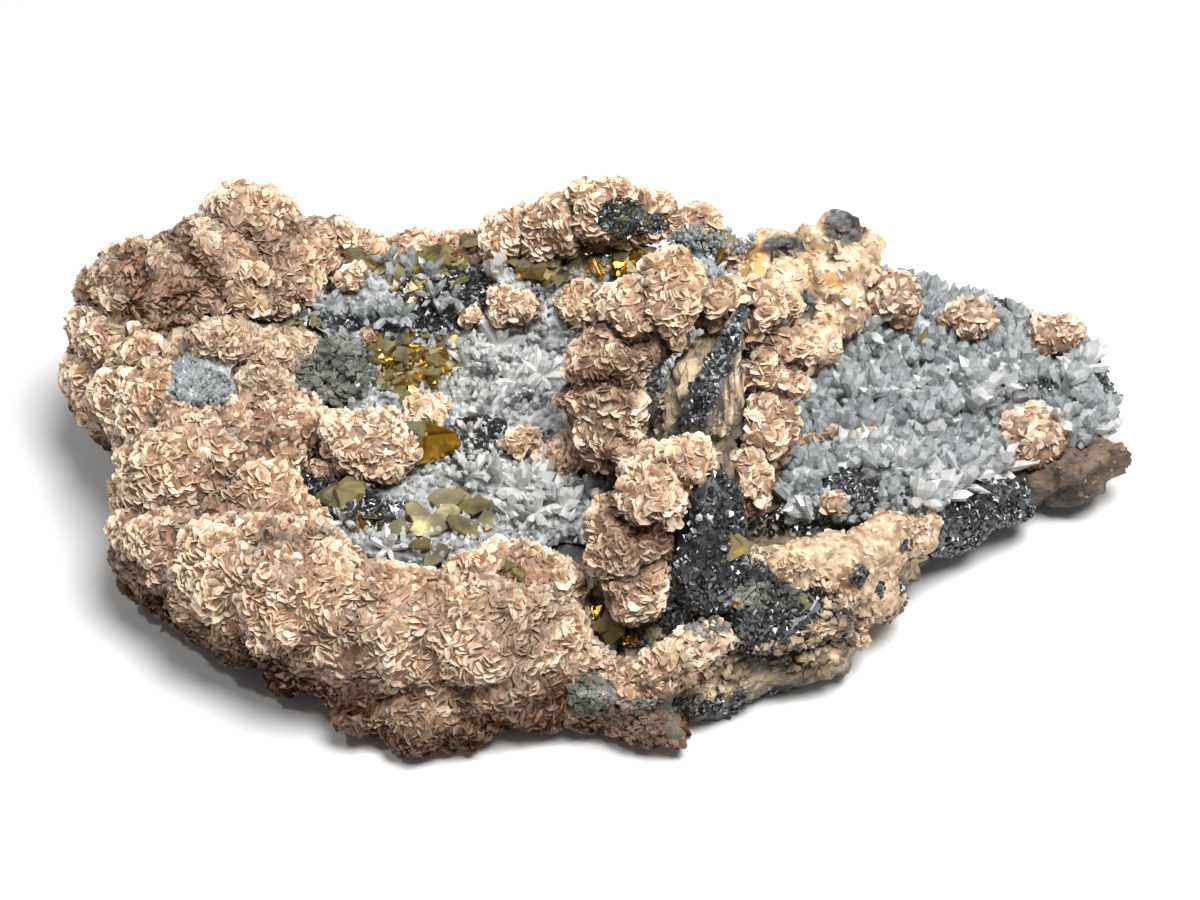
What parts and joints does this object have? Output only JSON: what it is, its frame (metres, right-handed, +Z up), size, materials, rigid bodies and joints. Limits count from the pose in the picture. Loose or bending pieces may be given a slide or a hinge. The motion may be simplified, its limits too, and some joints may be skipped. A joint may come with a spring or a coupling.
{
  "type": "rhodochrosite specimen",
  "caption": "Cabinet mineral specimen: an oblong sulphide matrix with pale pink rhodochrosite crusts, an arched ridge, quartz druses, chalcopyrite and sphalerite.",
  "frame": {"origin": "on the cut underside, below the middle of the specimen's bounding box", "axes": "+X along the specimen, from the rhodochrosite end to the quartz end; +Y from the front edge to the back; +Z up from the cut underside"},
  "size_m": [0.183, 0.1052, 0.0521],
  "materials": {
    "matrix": "dull broken rock with grey sulphide patches and a flat sawn underside",
    "rhodochrosite": "pale pink crystal rosettes, silky to glassy on the blades",
    "quartz": "glassy, clear to milky crystal faces",
    "chalcopyrite": "metallic brass yellow with an olive tarnish",
    "sphalerite": "bright black crystal faces with an almost metallic glint"
  },
  "bodies": {
    "root": {"chalcopyrite_back_band_left": "chalcopyrite", "chalcopyrite_back_band_right": "chalcopyrite", "chalcopyrite_back_left_cluster": "chalcopyrite", "chalcopyrite_back_wall_cluster": "chalcopyrite", "chalcopyrite_front_plates": "chalcopyrite", "chalcopyrite_gold_cluster": "chalcopyrite", "chalcopyrite_large_crystal": "chalcopyrite", "chalcopyrite_pocket_cluster": "chalcopyrite", "matrix": "matrix", "quartz_bed": "quartz", "quartz_floor": "quartz", "quartz_window": "quartz", "rhodochrosite_back_knot": "rhodochrosite", "rhodochrosite_bed_crust": "rhodochrosite", "rhodochrosite_front_band": "rhodochrosite", "rhodochrosite_nodule_back_left": "rhodochrosite", "rhodochrosite_nodule_back_right": "rhodochrosite", "rhodochrosite_nodule_bed_back": "rhodochrosite", "rhodochrosite_nodule_bed_edge": "rhodochrosite", "rhodochrosite_nodule_bed_front": "rhodochrosite", "rhodochrosite_nodule_bed_middle": "rhodochrosite", "rhodochrosite_nodule_bed_right": "rhodochrosite", "rhodochrosite_nodule_cavity_back": "rhodochrosite", "rhodochrosite_nodule_cavity_large": "rhodochrosite", "rhodochrosite_nodule_cavity_middle": "rhodochrosite", "rhodochrosite_nodule_cavity_small": "rhodochrosite", "rhodochrosite_nodule_floor_left": "rhodochrosite", "rhodochrosite_nodule_floor_right": "rhodochrosite", "rhodochrosite_pocket_lip": "rhodochrosite", "rhodochrosite_ridge": "rhodochrosite", "rhodochrosite_right_foot": "rhodochrosite", "rhodochrosite_rim": "rhodochrosite", "sphalerite_border": "sphalerite", "sphalerite_cap_back": "sphalerite", "sphalerite_cap_front": "sphalerite", "sphalerite_flank": "sphalerite", "sphalerite_ledge": "sphalerite", "sphalerite_spine": "sphalerite"}
  },
  "joints": []
}
